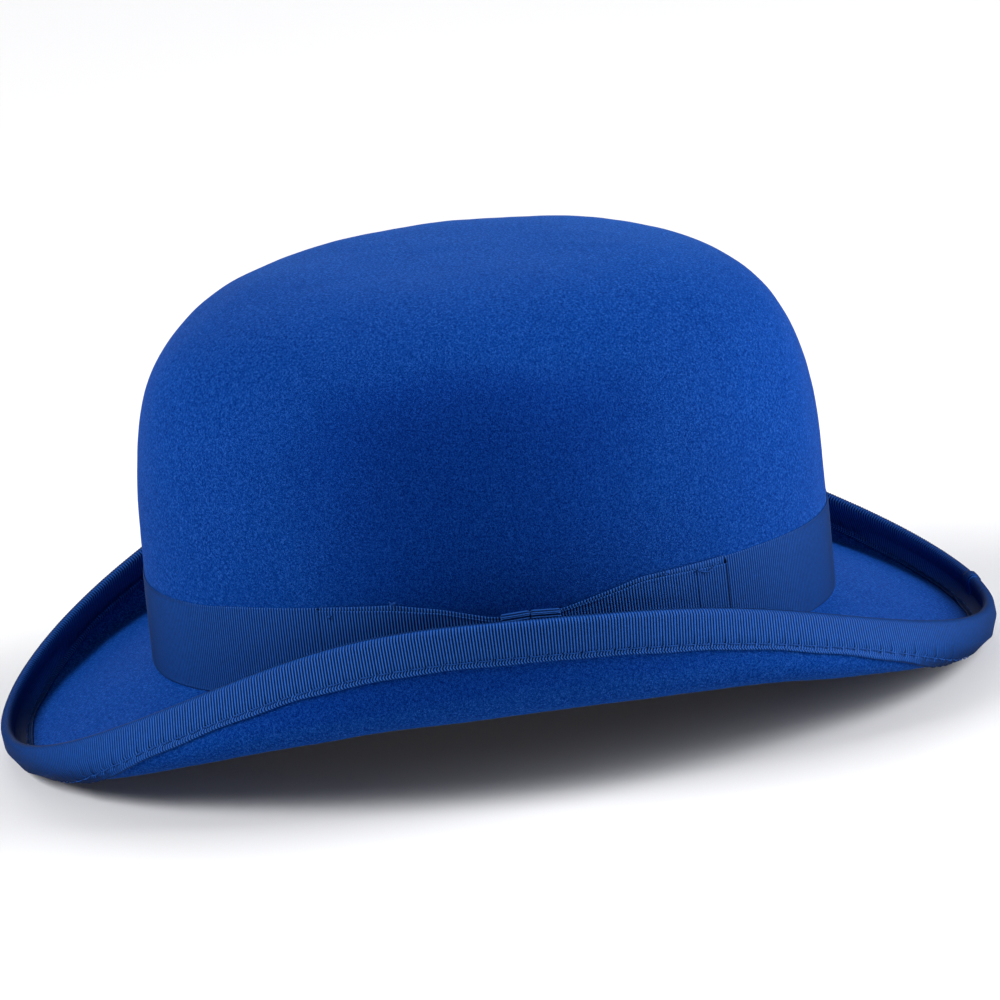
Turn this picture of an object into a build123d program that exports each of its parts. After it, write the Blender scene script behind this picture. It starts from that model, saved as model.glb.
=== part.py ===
from build123d import *
from math import asin, cos, degrees, hypot, pi, radians, sin, tan
import os

# A stiff felt bowler hat, in millimetres. +Z is up, -Y is the front of the hat, +Y the back, and +X the
# wearer's left, where the ribbon bow is. The origin is the middle of the hat's outline, on the surface it
# stands on. theta is the angle round the hat, from +X towards +Y. Values in fives are for the front, the
# front quarter, the side, the rear quarter and the rear.

# Crown
CROWN_HALF_LENGTH = 104.7  # outside of the felt at the band
CROWN_HALF_WIDTH = 86.4
CROWN_HEIGHT = 117.7  # above the rear of the break line, where the crown meets the brim
BREAK_RISE = (0.4, 4.7, 5.7, 4.7, 0.0)  # height of the break line
WALL_POWER = 4.85  # how late the wall starts to turn in
DOME_POWER = 3.23  # how flat the top is
FRONT_LEAN = -0.034
REAR_LEAN = 0.044
TOP_SHIFT = -3.5  # the top sits a little towards the front
FELT = 2.2

# Brim, as a section that runs out from the break line: it falls, then curls up
BRIM_WIDTH = (55.9, 50.2, 46.9, 48.5, 56.6)  # along the felt
BRIM_FALL = (27.0, 17.8, 5.9, 18.5, 25.3)  # degrees below level at the crown
BRIM_END = (91.3, 109.4, 90.0, 107.8, 98.2)  # degrees above level at the rim
CURL_START = (43.8, 23.7, 9.8, 25.5, 44.4)  # where the curl begins, along the felt
CURL_LENGTH = (11.1, 14.1, 19.7, 12.7, 10.0)

# Ribbons, all of ribbed grosgrain
RIBBON = 0.6
GAP = 0.1
BAND_WIDTH = 28.0
BAND_END = radians(12)  # the band's ends stop this far from the middle of the bow, under its loops
BINDING_OUTSIDE = 12.3
BINDING_INSIDE = 11.6
BINDING_SEAM = 2.0  # of the running stitch from the ribbon's edge

# Bow, one ribbon folded into two loops and held by a knot
BOW_RIBBON = 0.5
BOW_FRONT = radians(-34)
BOW_REAR = radians(36.3)
BOW_INNER_LAYER = 1.5  # middle of the layer, out from the felt
BOW_OUTER_LAYER = 2.7
BOW_PINCH = 6.0  # how far each edge draws in at the knot
BOW_PINCH_SPAN = radians(20)
BOW_RISE = 1.6  # how far its upper edge stands above the band's
KNOT_WIDTH = 17.2
KNOT_OFFSET = 1.9  # towards the rear
KNOT_CLEAR = 1.0  # from the loops' edges to the outside of the knot
KNOT_BACK = 0.15
KNOT_FRONT = 3.2

# Inside
LEATHER = 1.2
LEATHER_INSET = 2.95  # from the felt's outside to the leather
LEATHER_BOTTOM = 1.4  # heights inside the hat are from the break line
LEATHER_TOP = 40.0
LEATHER_SEAM = radians(0.25)  # half the gap between the leather's ends, at the rear
REED_RADIUS = 0.8
REED_INSET = 3.6
REED_RISE = 0.3
TAPE = 0.35
TAPE_RADIUS = 0.9  # inside of its fold round the reed
TAPE_OUTER_LEG = 8.0
TAPE_INNER_LEG = 3.0
LINING = 0.3
LINING_INSET = 2.45
LINING_BOTTOM = 30.0
TIP_START = 46.0  # degrees of the crown's curve where the lining's side meets its tip
TIP_GAP = 0.4

# Trim inside, at the rear of the leather
TRIM_WIDTH = 8.0
TRIM_RISE = 5.0
TRIM_HALF = radians(10)
TRIM_KNOT = radians(1.3)
TRIM_RIBBON = 0.3
TRIM_INNER_LAYER = 0.8  # middle of the layer, in from the leather
TRIM_OUTER_LAYER = 1.5
TRIM_PINCH = 1.2
TICKET_START = radians(52)
TICKET_END = radians(64)
TICKET_HEIGHTS = (12.0, 27.0)
TICKET = 0.25
TICKET_CLEAR = 0.05

# Thread
THREAD = 0.4
BINDING_STITCHES = 168
SWEATBAND_STITCHES = 144
SEAM_STITCHES = 9
STITCH_SHARE = 0.6  # of the pitch that shows
STITCH_CLEAR = 0.05
TACK_HEIGHT = 25.0
TACK_FRONT = radians(4)  # from the end of the front loop
TACK_REAR = radians(7.5)  # from the end of the rear loop
TACK_REACH = radians(1.2)
TACK_SLANT = 0.6
TACK_CLEAR = 0.35
SEAM_REACH = radians(1.0)  # of the zigzag to each side of the leather's joint
SEAM_MARGIN = 3.0  # from the zigzag to the trim bow and to the leather's upper edge

# How finely the curves are sampled
RING_POINTS = 48
CROWN_RINGS = 12
BINDING_RINGS = 5
BRIM_RINGS = 9
BRIM_STEPS = 24
OUTLINE_POINTS = 72
OUTLINE_STEP = 0.5
OUTLINE_REACH = 15.0  # back from the rim, past the curl's widest and lowest points
STRIP_STEP = radians(7.5)
FOLD_TURNS = [radians(a) for a in (45, 90, 135)]

SIDE = 0.0
REAR = pi / 2


def around(five, theta):
    """A value that runs smoothly round the hat through its five stations."""
    front, front_quarter, side, rear_quarter, rear = five
    ends = (front + rear) / 2
    quarters = (front_quarter + rear_quarter) / 2
    even = (side + ends) / 2
    mean = (even + quarters) / 2
    lean = (rear - front) / 2
    skew = (rear_quarter - front_quarter) / (2 * sin(pi / 4))
    return (
        mean
        + (lean + skew) / 2 * sin(theta)
        + (side - ends) / 2 * cos(2 * theta)
        + (skew - lean) / 2 * sin(3 * theta)
        + (even - quarters) / 2 * cos(4 * theta)
    )


def slope(theta, s):
    """Angle of the brim above level, s out from the break line."""
    fall = around(BRIM_FALL, theta)
    k = (s - around(CURL_START, theta)) / around(CURL_LENGTH, theta)
    k = min(max(k, 0), 1)
    return radians(-fall + (around(BRIM_END, theta) + fall) * k * k * (3 - 2 * k))


def brim_run(theta, s, above=0.0):
    """Distance out and height of a point s out along the felt's top face, and above it."""
    step = s / BRIM_STEPS
    out = 0.0
    up = 0.0
    for i in range(BRIM_STEPS):
        angle = slope(theta, step * (i + 0.5))
        out += cos(angle) * step
        up += sin(angle) * step
    angle = slope(theta, s)
    return out - sin(angle) * above, up + cos(angle) * above


def from_break(theta, out, up):
    """A point beside the break line, with no allowance for where the origin is."""
    nx = CROWN_HALF_LENGTH * cos(theta)
    ny = CROWN_HALF_WIDTH * sin(theta)
    size = hypot(nx, ny)
    x = CROWN_HALF_WIDTH * cos(theta) + out * nx / size
    y = CROWN_HALF_LENGTH * sin(theta) + out * ny / size
    return x, y, around(BREAK_RISE, theta) + up


def outline():
    """Middle of the brim's length, and its lowest height, both of the binding's outside."""
    lengths = []
    heights = []
    for i in range(OUTLINE_POINTS):
        theta = 2 * pi * i / OUTLINE_POINTS
        for k in range(round(OUTLINE_REACH / OUTLINE_STEP) + 1):
            s = around(BRIM_WIDTH, theta) - OUTLINE_STEP * k
            x, y, z = from_break(theta, *brim_run(theta, s, -FELT - GAP - RIBBON))
            lengths.append(y)
            heights.append(z)
    return (min(lengths) + max(lengths)) / 2, min(heights)


MIDDLE, LOWEST = outline()


def beside(theta, out, up):
    """A point beside the break line: out from the crown, and up."""
    x, y, z = from_break(theta, out, up)
    return Vector(x, y - MIDDLE, z - LOWEST)


def on_brim(theta, s, above=0.0):
    return beside(theta, *brim_run(theta, s, above))


def from_rim(theta, back, above=0.0):
    """A point on the brim, a distance back from its edge."""
    return on_brim(theta, around(BRIM_WIDTH, theta) - back, above)


def on_crown(theta, curve, inset=0.0):
    """A point on the crown. curve runs from 0 degrees at the break line to 90 at the top."""
    u = sin(radians(curve)) ** (2 / WALL_POWER)
    g = max(cos(radians(curve)), 0.0) ** (2 / DOME_POWER) if curve < 90 else 0.0
    return crown_point(theta, u, g, inset)


def crown_point(theta, u, g, inset):
    lean = FRONT_LEAN if sin(theta) < 0 else REAR_LEAN
    half_length = CROWN_HALF_LENGTH - inset
    x = (CROWN_HALF_WIDTH - inset) * cos(theta) * g
    y = half_length * sin(theta) * g * (1 + lean * u) + TOP_SHIFT * u
    z = around(BREAK_RISE, theta) * (1 - u) + (CROWN_HEIGHT - inset) * u
    return Vector(x, y - MIDDLE, z - LOWEST)


def on_wall(theta, height, inset=0.0):
    """A point on the crown's wall, by its height above the break line."""
    u = height / (CROWN_HEIGHT - inset)
    g = (1 - max(u, 0) ** WALL_POWER) ** (1 / DOME_POWER)
    return crown_point(theta, u, g, inset)


def crown_curves(start, end):
    """Steps along the crown's curve, in degrees."""
    count = max(2, round((end - start) / 90 * CROWN_RINGS))
    return [start + (end - start) * i / count for i in range(count + 1)]


def ring(point):
    """A closed wire round the hat."""
    points = [point(2 * pi * i / RING_POINTS) for i in range(RING_POINTS)]
    return Wire([Edge.make_spline(points, periodic=True)])


def skin(wires):
    """The faces of a surface through several wires."""
    return Shell.make_loft(wires, ruled=len(wires) == 2).faces()


def closed(skins):
    return Solid(Shell([face for faces in skins for face in faces]))


def hoop(corners):
    """A ring of polygon section, from a list of its corners' curves."""
    wires = [ring(corner) for corner in corners]
    return closed([skin([a, b]) for a, b in zip(wires, wires[1:] + wires[:1])])


def strip(corners, steps):
    """A strip of four-cornered section along the values in steps, closed at both ends."""
    rows = [[corner(t) for t in steps] for corner in corners]
    wires = [Wire([Edge.make_spline(row)]) for row in rows]
    skins = [skin([a, b]) for a, b in zip(wires, wires[1:] + wires[:1])]
    for end in (0, -1):
        a, b, c, d = (row[end] for row in rows)
        skins.append(skin([Wire([Edge.make_line(a, b)]), Wire([Edge.make_line(d, c)])]))
    return closed(skins)


def spaced(start, end, count):
    return [start + (end - start) * i / count for i in range(count + 1)]


def wall_strip(start, end, inset, thick, low, high):
    """A strip on the crown's wall. A negative inset lies outside the felt."""
    corners = [
        lambda t: on_wall(t, low, inset),
        lambda t: on_wall(t, low, inset + thick),
        lambda t: on_wall(t, high, inset + thick),
        lambda t: on_wall(t, high, inset),
    ]
    return strip(corners, spaced(start, end, max(4, round(abs(end - start) / STRIP_STEP))))


def felt_body():
    """Crown and brim, blocked from one felt hood."""
    curves = crown_curves(0, 90)
    corner_in = lambda t: beside(t, -FELT, inner_corner(t))
    break_out = ring(lambda t: on_crown(t, 0))
    break_in = ring(corner_in)
    rim_top = ring(lambda t: from_rim(t, 0))
    rim_under = ring(lambda t: from_rim(t, 0, -FELT))
    outside = [break_out] + [ring(lambda t, c=c: on_crown(t, c)) for c in curves[1:-1]]
    inside = [break_in] + [ring(lambda t, c=c: on_crown(t, c, FELT)) for c in curves[1:-1]]
    top = [Vertex(on_crown(0, 90))]
    top_in = [Vertex(on_crown(0, 90, FELT))]
    face = brim_rows(BINDING_INSIDE, 0)
    under = brim_rows(BINDING_OUTSIDE, -FELT)
    return closed(
        [
            skin(outside + top),
            skin([break_out] + face + [rim_top]),
            skin([rim_top, rim_under]),
            skin([rim_under] + under[::-1] + [break_in]),
            skin(inside + top_in),
        ]
    )


def brim_rows(bound, above):
    """Rings across the brim, from the crown outwards: close together where the binding lies."""
    free = [
        ring(lambda t, k=k: on_brim(t, (around(BRIM_WIDTH, t) - bound) * k, above))
        for k in spaced(0, 1, BRIM_RINGS)[1:]
    ]
    return free + [ring(lambda t, b=b: from_rim(t, b, above)) for b in binding_backs(bound)[1:-1]]


def binding_backs(width):
    """Distances back from the rim, from the ribbon's edge outwards."""
    return spaced(width, 0, BINDING_RINGS)


def inner_corner(theta):
    """Height where the brim's underside meets the crown's inside, from the break line."""
    fall = radians(around(BRIM_FALL, theta))
    return FELT * ((1 - sin(fall)) * tan(fall) - cos(fall))


def hat_band():
    """Ribbon round the foot of the crown, with its ends under the bow."""
    return wall_strip(BAND_END, 2 * pi - BAND_END, -GAP, -RIBBON, GAP, BAND_WIDTH)


def brim_binding():
    """Ribbon folded over the rim."""
    low = -FELT - GAP
    far = low - RIBBON
    end = -GAP - RIBBON

    def row(width, edge, above):
        return [ring(lambda t, b=b: from_rim(t, b, above)) for b in binding_backs(width) + [edge]]

    top_out = row(BINDING_INSIDE, end, GAP + RIBBON)
    under_out = row(BINDING_OUTSIDE, end, far)[::-1]
    under_in = row(BINDING_OUTSIDE, -GAP, low)
    top_in = row(BINDING_INSIDE, -GAP, GAP)[::-1]
    return closed(
        [
            skin(top_out),
            skin([top_out[-1], under_out[0]]),
            skin(under_out),
            skin([under_out[-1], under_in[0]]),
            skin(under_in),
            skin([under_in[-1], top_in[0]]),
            skin(top_in),
            skin([top_in[-1], top_out[0]]),
        ]
    )


def fold_path(front, rear, inner, outer):
    """Angle and distance out of one ribbon folded into two flat loops, from its ends in the middle."""
    turn = (outer - inner) / 2
    reach = turn / CROWN_HALF_LENGTH
    middle = (inner + outer) / 2
    inside = spaced(0.03, 1, 7)
    path = [(front * k, inner) for k in inside]
    path += [(front - reach * sin(a), middle - turn * cos(a)) for a in FOLD_TURNS]
    path += [(t, outer) for t in spaced(front, rear, 14)]
    path += [(rear + reach * sin(a), middle + turn * cos(a)) for a in FOLD_TURNS]
    path += [(rear * k, inner) for k in inside[::-1]]
    return path


def folded_ribbon(path, thick, low, high, pinch, hold, span, side=SIDE):
    """A ribbon on edge along a folded path beside the wall, drawn in where the knot holds it."""

    def direction(i):
        a = path[max(i - 1, 0)]
        b = path[min(i + 1, len(path) - 1)]
        along = (b[0] - a[0]) * CROWN_HALF_LENGTH
        out = b[1] - a[1]
        size = hypot(along, out)
        return along / size, out / size

    def point(i, across, top):
        theta, off = path[i]
        along, out = direction(i)
        free = min(max((abs(theta) - hold) / (span - hold), 0), 1)
        narrow = pinch * cos(free * pi / 2) ** 2
        height = high - narrow if top else low + narrow
        shifted = theta - across * out / CROWN_HALF_LENGTH
        return on_wall(side + shifted, height, -off - across * along)

    half = thick / 2
    corners = [
        lambda i: point(i, -half, False),
        lambda i: point(i, half, False),
        lambda i: point(i, half, True),
        lambda i: point(i, -half, True),
    ]
    return strip(corners, range(len(path)))


def bow_loops():
    path = fold_path(BOW_FRONT, BOW_REAR, BOW_INNER_LAYER, BOW_OUTER_LAYER)
    hold = (KNOT_WIDTH / 2 + KNOT_OFFSET) / CROWN_HALF_LENGTH
    high = BAND_WIDTH + BOW_RISE
    return folded_ribbon(path, BOW_RIBBON, GAP, high, BOW_PINCH, hold, BOW_PINCH_SPAN)


def bow_knot():
    """Short ribbon wrapped round the middle of the bow."""
    foot = on_wall(SIDE, BOW_PINCH - KNOT_CLEAR)
    head = on_wall(SIDE, BAND_WIDTH + BOW_RISE - BOW_PINCH + KNOT_CLEAR)
    deep = KNOT_FRONT + BOW_RIBBON - KNOT_BACK
    tall = head.Z - foot.Z
    middle = Vector(foot.X + KNOT_BACK + deep / 2, foot.Y + KNOT_OFFSET, (foot.Z + head.Z) / 2)
    outer = Box(deep, KNOT_WIDTH, tall)
    inner = Box(deep - 2 * BOW_RIBBON, KNOT_WIDTH, tall - 2 * BOW_RIBBON)
    return Pos(middle) * (outer - inner)


def sweatband():
    """Leather band inside the crown, with its ends together at the rear."""
    start = REAR + LEATHER_SEAM
    end = REAR + 2 * pi - LEATHER_SEAM
    return wall_strip(start, end, LEATHER_INSET, LEATHER, LEATHER_BOTTOM, LEATHER_TOP)


def reed_corner(turn, radius):
    """A corner of a section round the reed, at an angle up from the felt side."""
    inset = REED_INSET - radius * cos(turn)
    height = REED_RISE + radius * sin(turn)
    return lambda t: on_foot(t, height, inset)


def on_foot(theta, height, inset):
    """A point inside the crown near the break line, where the wall is upright."""
    return beside(theta, -inset, height)


def sweatband_reed():
    """Thin rod that keeps the band's lower edge round."""
    return hoop([reed_corner(2 * pi * i / 8, REED_RADIUS) for i in range(8)])


def sweatband_welt():
    """Tape folded round the reed, with one leg behind the leather and one in front."""
    outer = TAPE_RADIUS + TAPE
    turns = [-pi * i / 4 for i in range(5)]
    corners = [lambda t: on_foot(t, TAPE_OUTER_LEG, REED_INSET - outer)]
    corners += [reed_corner(a, outer) for a in turns]
    corners += [lambda t: on_foot(t, TAPE_INNER_LEG, REED_INSET + outer)]
    corners += [lambda t: on_foot(t, TAPE_INNER_LEG, REED_INSET + TAPE_RADIUS)]
    corners += [reed_corner(a, TAPE_RADIUS) for a in turns[::-1]]
    corners += [lambda t: on_foot(t, TAPE_OUTER_LEG, REED_INSET - TAPE_RADIUS)]
    return hoop(corners)


def lining_side():
    """Satin wall of the lining, tucked behind the leather."""
    start = on_curve(LINING_BOTTOM, LINING_INSET)
    curves = crown_curves(start, TIP_START)
    near = [ring(lambda t, c=c: on_crown(t, c, LINING_INSET)) for c in curves]
    far = [ring(lambda t, c=c: on_crown(t, c, LINING_INSET + LINING)) for c in curves]
    return closed([skin(near), skin([near[-1], far[-1]]), skin(far), skin([far[0], near[0]])])


def on_curve(height, inset):
    """The crown's curve angle at a height, in degrees."""
    return degrees(asin((height / (CROWN_HEIGHT - inset)) ** (WALL_POWER / 2)))


def lining_tip():
    """Satin oval that closes the lining's top."""
    curves = crown_curves(TIP_START + TIP_GAP, 90)[:-1]
    near = [ring(lambda t, c=c: on_crown(t, c, LINING_INSET)) for c in curves]
    far = [ring(lambda t, c=c: on_crown(t, c, LINING_INSET + LINING)) for c in curves]
    near_top = Vertex(on_crown(0, 90, LINING_INSET))
    far_top = Vertex(on_crown(0, 90, LINING_INSET + LINING))
    return closed([skin(near + [near_top]), skin([near[0], far[0]]), skin(far + [far_top])])


def stitch(a, b, normal, sink):
    """A straight stitch from a to b, sunk into the surface below it."""
    plane = Plane(origin=(a + b) * 0.5 - normal * sink, x_dir=b - a, z_dir=normal)
    return plane * Box((b - a).length, THREAD, THREAD)


def stitch_line(point, normal, start, end, count, sink):
    """Stitches at an even pitch along a curve."""
    pitch = (end - start) / count
    found = []
    for i in range(count):
        t = start + pitch * i
        found.append(stitch(point(t), point(t + pitch * STITCH_SHARE), normal(t), sink))
    return found


def binding_stitches():
    """Running stitch through the binding, seen inside and outside the rim."""
    face = GAP + RIBBON

    def surface(back, above, sign):
        point = lambda t: from_rim(t, back, above)
        normal = lambda t: (from_rim(t, back, above + sign) - from_rim(t, back, above)).normalized()
        return stitch_line(point, normal, 0, 2 * pi, BINDING_STITCHES, THREAD / 2)

    outside = surface(BINDING_OUTSIDE - BINDING_SEAM, -FELT - face, -1)
    inside = surface(BINDING_INSIDE - BINDING_SEAM, face, 1)
    return Compound(outside + inside)


def sweatband_stitches():
    """Seam that holds the leather in the fold of the tape."""
    inset = REED_INSET + TAPE_RADIUS + TAPE
    height = (TAPE_INNER_LEG + LEATHER_BOTTOM) / 2
    point = lambda t: on_foot(t, height, inset)
    normal = lambda t: (on_foot(t, height, inset + 1) - on_foot(t, height, inset)).normalized()
    return Compound(stitch_line(point, normal, 0, 2 * pi, SWEATBAND_STITCHES, -THREAD / 2 - STITCH_CLEAR))


def sweatband_seam_stitches():
    """Zigzag stitches across the leather's joint, above the trim bow."""
    inset = LEATHER_INSET + LEATHER
    foot = TRIM_RISE + TRIM_WIDTH + SEAM_MARGIN
    pitch = (LEATHER_TOP - SEAM_MARGIN - foot) / SEAM_STITCHES
    found = []
    for i in range(SEAM_STITCHES):
        low = foot + pitch * i
        a = on_wall(REAR - SEAM_REACH, low, inset)
        b = on_wall(REAR + SEAM_REACH, low + pitch * STITCH_SHARE, inset)
        found.append(stitch(a, b, Vector(0, -1, 0), -THREAD / 2 - STITCH_CLEAR))
    return Compound(found)


def sweatband_bow():
    """Narrow ribbon folded flat at the rear of the leather."""
    face = -LEATHER_INSET - LEATHER
    loops = fold_path(-TRIM_HALF, TRIM_HALF, TRIM_INNER_LAYER, TRIM_OUTER_LAYER)
    path = [(t, face - off) for t, off in loops]
    top = TRIM_RISE + TRIM_WIDTH
    return folded_ribbon(path, TRIM_RIBBON, TRIM_RISE, top, TRIM_PINCH, TRIM_KNOT, TRIM_HALF / 2, REAR)


def sweatband_bow_knot():
    inset = LEATHER_INSET + LEATHER + TRIM_OUTER_LAYER + TRIM_RIBBON
    low = TRIM_RISE + TRIM_PINCH / 2
    high = TRIM_RISE + TRIM_WIDTH - TRIM_PINCH / 2
    return wall_strip(REAR - TRIM_KNOT, REAR + TRIM_KNOT, inset, TRIM_RIBBON, low, high)


def size_ticket():
    """Small blank cloth ticket on the leather."""
    inset = LEATHER_INSET + LEATHER + TICKET_CLEAR
    return wall_strip(TICKET_START, TICKET_END, inset, TICKET, *TICKET_HEIGHTS)


def bow_tacks():
    """Short hand stitches that hold the bow's loops down."""
    tacks = []
    face = BOW_OUTER_LAYER + BOW_RIBBON / 2 + TACK_CLEAR
    for theta in (BOW_FRONT + TACK_FRONT, BOW_REAR - TACK_REAR):
        a = on_wall(theta, TACK_HEIGHT, -face)
        b = on_wall(theta + TACK_REACH, TACK_HEIGHT + TACK_SLANT, -face)
        out = (on_wall(theta, TACK_HEIGHT, -face - 1) - a).normalized()
        tacks.append(stitch(a, b, out, -THREAD / 2))
    return Compound(tacks)


NODES = {
    "felt_body": felt_body,
    "hat_band": hat_band,
    "brim_binding": brim_binding,
    "binding_stitches": binding_stitches,
    "bow_loops": bow_loops,
    "bow_knot": bow_knot,
    "bow_tacks": bow_tacks,
    "sweatband": sweatband,
    "sweatband_reed": sweatband_reed,
    "sweatband_welt": sweatband_welt,
    "sweatband_stitches": sweatband_stitches,
    "sweatband_seam_stitches": sweatband_seam_stitches,
    "sweatband_bow": sweatband_bow,
    "sweatband_bow_knot": sweatband_bow_knot,
    "size_ticket": size_ticket,
    "lining_side": lining_side,
    "lining_tip": lining_tip,
}

os.makedirs("parts", exist_ok=True)
for name, make in NODES.items():
    export_step(make(), f"parts/{name}.step")
print("break line above the standing surface:", round(-LOWEST, 2), "outline middle:", round(MIDDLE, 2))
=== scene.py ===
import bmesh
import bpy
import numpy as np
from math import asin, cos, degrees, pi, radians, sin
from mathutils import Matrix, Vector


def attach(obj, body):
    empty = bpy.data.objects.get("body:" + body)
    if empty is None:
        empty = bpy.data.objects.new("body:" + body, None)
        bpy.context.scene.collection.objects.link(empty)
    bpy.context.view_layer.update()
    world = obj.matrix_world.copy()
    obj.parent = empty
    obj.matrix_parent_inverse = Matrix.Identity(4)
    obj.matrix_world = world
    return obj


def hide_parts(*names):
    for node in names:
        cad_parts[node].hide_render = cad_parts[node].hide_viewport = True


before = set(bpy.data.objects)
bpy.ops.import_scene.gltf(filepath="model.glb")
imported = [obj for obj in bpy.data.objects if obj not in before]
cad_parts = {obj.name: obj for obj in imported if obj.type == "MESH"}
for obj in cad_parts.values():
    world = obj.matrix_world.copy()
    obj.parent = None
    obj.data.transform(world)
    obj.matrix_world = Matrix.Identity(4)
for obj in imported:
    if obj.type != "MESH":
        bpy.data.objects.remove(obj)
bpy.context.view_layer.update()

# The hat's own shape, in millimetres, as the CAD pieces have it. +Z is up, -Y the front, +X the bow's side.
# theta is the angle round the hat from +X towards +Y. Values in fives are for the front, the front quarter,
# the side, the rear quarter and the rear.
MM = 0.001
TURN = 2 * pi
REAR = pi / 2

# Crown and brim, of felt
CROWN_HALF_LENGTH = 104.7
CROWN_HALF_WIDTH = 86.4
CROWN_HEIGHT = 117.7
BREAK_RISE = (0.4, 4.7, 5.7, 4.7, 0.0)
WALL_POWER = 4.85
DOME_POWER = 3.23
FRONT_LEAN = -0.034
REAR_LEAN = 0.044
TOP_SHIFT = -3.5
FELT = 2.2
BRIM_WIDTH = (55.9, 50.2, 46.9, 48.5, 56.6)
BRIM_FALL = (27.0, 17.8, 5.9, 18.5, 25.3)
BRIM_END = (91.3, 109.4, 90.0, 107.8, 98.2)
CURL_START = (43.8, 23.7, 9.8, 25.5, 44.4)
CURL_LENGTH = (11.1, 14.1, 19.7, 12.7, 10.0)
FELT_COLUMNS = 420
FREE_EDGE = 8.0  # over which the felt comes free of a ribbon that holds it
NAP = ((0.13, 3, 38), (0.03, 4, 11))  # depth, seed and size of the felt's unevenness
FELT_BLUES = ((0.0, 0.011, 0.105), (0.0006, 0.028, 0.18), (0.012, 0.066, 0.29))

# Grosgrain ribbon
RIB = 0.92  # pitch of its ribs
RIB_COLUMNS = 4  # columns of mesh in one rib
RIB_DEPTH = 0.24
RIB_SINK = 0.4  # takes the grooves deeper than the ribs stand proud
RIB_TOOTH = 0.08  # how far the ribs stand out of the ribbon's edges
THREAD_PITCH = 0.45  # of the fine threads in ribbon and satin
# groove, side and crest colours of the grosgrain: the dark groove is painted shade, the light crest a painted
# highlight
RIBBON_BLUES = ((0.001, 0.007, 0.032), (0.003, 0.036, 0.185), (0.022, 0.102, 0.41))
GAP = 0.1  # between a ribbon and the felt

# Band round the crown. Its pairs are degrees round from the bow and millimetres.
BAND_WIDTH = 28.0
BAND_END = radians(12)
BAND_RIBBON = 0.36
BAND_RISE = ((-90, 0.3), (-60, 0.4), (-52, 1.2), (-34, 2.0), (0, 2.0), (30, 0), (60, -0.4), (90, 0))
BAND_DRAW = ((-28, 0), (-12, -6.5), (12, -5.0), (26, 0))  # how far its ends are drawn in under the knot

# Binding of the rim
RIBBON = 0.6
BINDING_OUTSIDE = 12.3
BINDING_INSIDE = 11.6
BINDING_SEAM = 2.0
BINDING_STITCHES = 168
BINDING_COLUMNS = 3  # columns of mesh in one of its ribs
BINDING_SHEAR = 0.3  # how far its ribs lean, for each millimetre below the rim
SELVEDGE_SLANT = 0.6  # ribs along, for each millimetre across its selvedges
SELVEDGE_ROW = 1.1  # from the seam to the middle of the plaited selvedge
DIMPLE = 0.6  # how far a stitch's end pulls the ribbon in
DIMPLE_REACH = 0.55
SEAM_GROOVE = 0.24
SEAM_REACH = 0.45
LAP_PLACE = 13.5  # of the lapped ends, from the middle of the rear
LAP_RISE = 0.55
LAP_HALF = 1.6
LAP_EASE = 1.2
WRAP_RADIUS = FELT / 2 + GAP + RIBBON / 2
INSIDE_LEG = BINDING_INSIDE - FELT / 2
OUTSIDE_LEG = BINDING_OUTSIDE - FELT / 2
BINDING_ACROSS = INSIDE_LEG + pi * WRAP_RADIUS + OUTSIDE_LEG

# Bow. Its pairs are degrees round and the heights of the loops' edges.
BOW_RIBBON = 0.42
BOW_FRONT = radians(-34)
BOW_REAR = radians(36.3)
BOW_INNER_LAYER = 1.25
BOW_OUTER_LAYER = 2.15
# painted shade: a dark line is painted along each loop's fold, where its shadow falls
BOW_FOLD_SHADE = radians(0.22)  # the dark line along each loop's fold
BOW_BACK_TOP = ((-34, 30.2), (-21, 30.5), (-13, 28.1), (-5, 24.0), (6, 23.7), (20, 28.8), (36, 28.4))
BOW_FRONT_TOP = (
    (-34, 29.4), (-21, 28.9), (-13, 27.1), (-5, 22.9), (6, 23.1), (20, 27.4), (25, 27.2), (36, 25.9)
)
BOW_FOOT = ((-34, 0.6), (-20, 1.2), (-5, 6.2), (7, 6.2), (21, 1.0), (36, 0.2))
BOW_RIDGE = radians(30.4)
BOW_PUFF = 0.9
BOW_GATHER = 0.30
KNOT_WIDTH = 17.2
KNOT_OFFSET = 1.9
KNOT_LOW = 5.2
KNOT_HIGH = 24.7
KNOT_BACK = 0.5
KNOT_FRONT = 3.0
KNOT_CORNER = 0.75

# Leather band inside, with its reed, tape and small bow
LEATHER = 1.2
LEATHER_INSET = 2.95
LEATHER_BOTTOM = 1.4
LEATHER_TOP = 40.0
REED_RADIUS = 0.8
REED_INSET = 3.6
REED_RISE = 0.3
TAPE = 0.35
TAPE_RADIUS = 0.9
TAPE_TOP = 8.0
TAPE_LIP = 3.0
WELT_STITCHES = 144
TRIM_WIDTH = 8.0
TRIM_RISE = 5.0
TRIM_HALF = radians(10)
TRIM_RIBBON = 0.3
TRIM_RIB = 0.8

# Lining
LINING = 0.3
LINING_INSET = 2.45
LINING_BOTTOM = 30.0
TIP_START = 46.0  # degrees up the crown's curve
LINING_COLUMNS = 480
LINING_FOLDS = 46
LINING_FOLD = 1.9
LINING_SIZE = (560.0, 75.0)  # round the wall and up it

# Stage, light and camera, in metres
FLOOR_COLOUR = (0.62, 0.62, 0.63)
FLOOR_HALF = 6.0
FLOOR_DROP = 0.0004  # keeps the floor clear of the brim's lowest points
WORLD_STRENGTH = 0.22
LIT_POINT = (0.0, 0.0, 0.08)
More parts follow.
